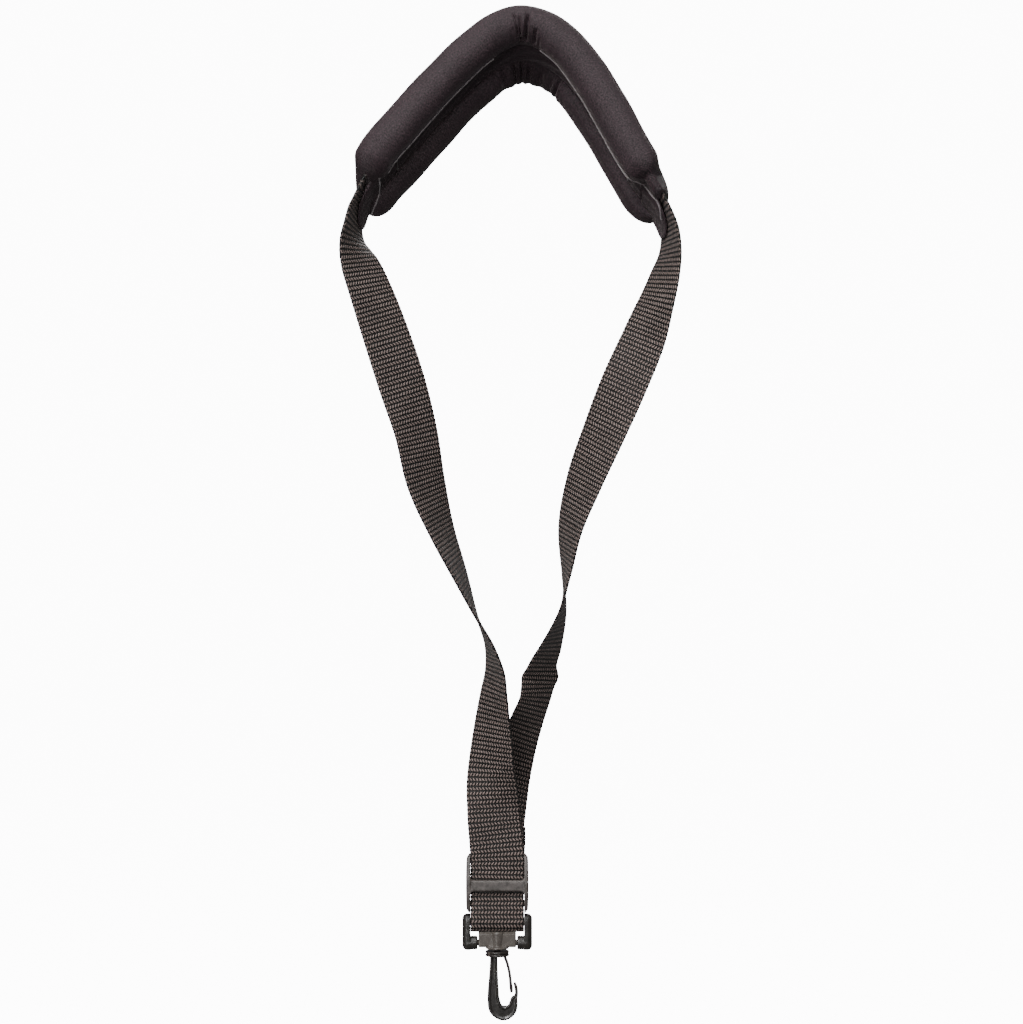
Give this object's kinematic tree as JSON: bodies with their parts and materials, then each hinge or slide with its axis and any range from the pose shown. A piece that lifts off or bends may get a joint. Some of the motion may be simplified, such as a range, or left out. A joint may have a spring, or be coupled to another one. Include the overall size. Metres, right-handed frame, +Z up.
{
  "type": "saxophone neck strap",
  "caption": "Padded neck strap for a saxophone: a two-roll neck pad, a loop of webbing, a sliding length adjuster and a swivel snap hook, shown hanging",
  "frame": {"origin": "neck seat: the middle of the pad, on the underside line between its two rolls, where it rests on the neck", "axes": "+Z up, +X from the left leg to the right leg, +Y from the front of the strap to its back"},
  "size_m": [0.1604, 0.0707, 0.484],
  "materials": {
    "knit_cover": "fine knitted fabric with a soft sheen, near black",
    "foam": "soft foam, hidden inside the cover",
    "welt_cord": "thin corded seam, near black",
    "webbing": "coarse twill-woven synthetic webbing, dark brown-grey",
    "sewing_thread": "sewing thread, near black",
    "slide_plastic": "moulded plastic, matte with worn edges, dark grey-brown",
    "hook_plastic": "moulded plastic, satin, dark grey"
  },
  "bodies": {
    "strap": {"pad_cover": "knit_cover", "foam_roll_front": "foam", "foam_roll_back": "foam", "foam_core": "foam", "seam_welt": "welt_cord", "pad_tack_left": "sewing_thread", "pad_tack_right": "sewing_thread", "webbing_pad_run": "webbing", "webbing_left_leg": "webbing", "webbing_right_leg": "webbing", "webbing_right_lower": "webbing", "stitch_yoke_loop": "sewing_thread"},
    "slide": {"slide_adjuster": "slide_plastic", "webbing_slide_loop": "webbing", "stitch_slide_loop": "sewing_thread"},
    "yoke": {"yoke": "hook_plastic"},
    "block": {"pivot_block": "hook_plastic"},
    "hook": {"swivel_hook": "hook_plastic"},
    "gate": {"hook_gate": "hook_plastic"}
  },
  "joints": [
    {"name": "slide_adjust", "type": "slide", "parent": "strap", "child": "slide", "axis": [0, 0, 1], "range_m": [0, 0.036], "deforming": ["webbing_right_lower"]},
    {"name": "yoke_swing", "type": "hinge", "parent": "strap", "child": "yoke", "pos_m": [-0.0109, -0.0007, -0.412], "axis": [1, 0, 0], "range_deg": [-60, 60]},
    {"name": "hook_pivot", "type": "hinge", "parent": "yoke", "child": "block", "pos_m": [-0.0109, -0.0007, -0.4221], "axis": [1, 0, 0], "range_deg": [-80, 80]},
    {"name": "hook_swivel", "type": "hinge", "parent": "block", "child": "hook", "pos_m": [-0.0109, -0.0007, -0.4284], "axis": [0, 0, 1], "continuous": true},
    {"name": "gate_flex", "type": "hinge", "parent": "hook", "child": "gate", "pos_m": [-0.0073, -0.0007, -0.4292], "axis": [0, 1, 0], "range_deg": [0, 15], "stiffness_Nm_per_rad": 0.06}
  ]
}
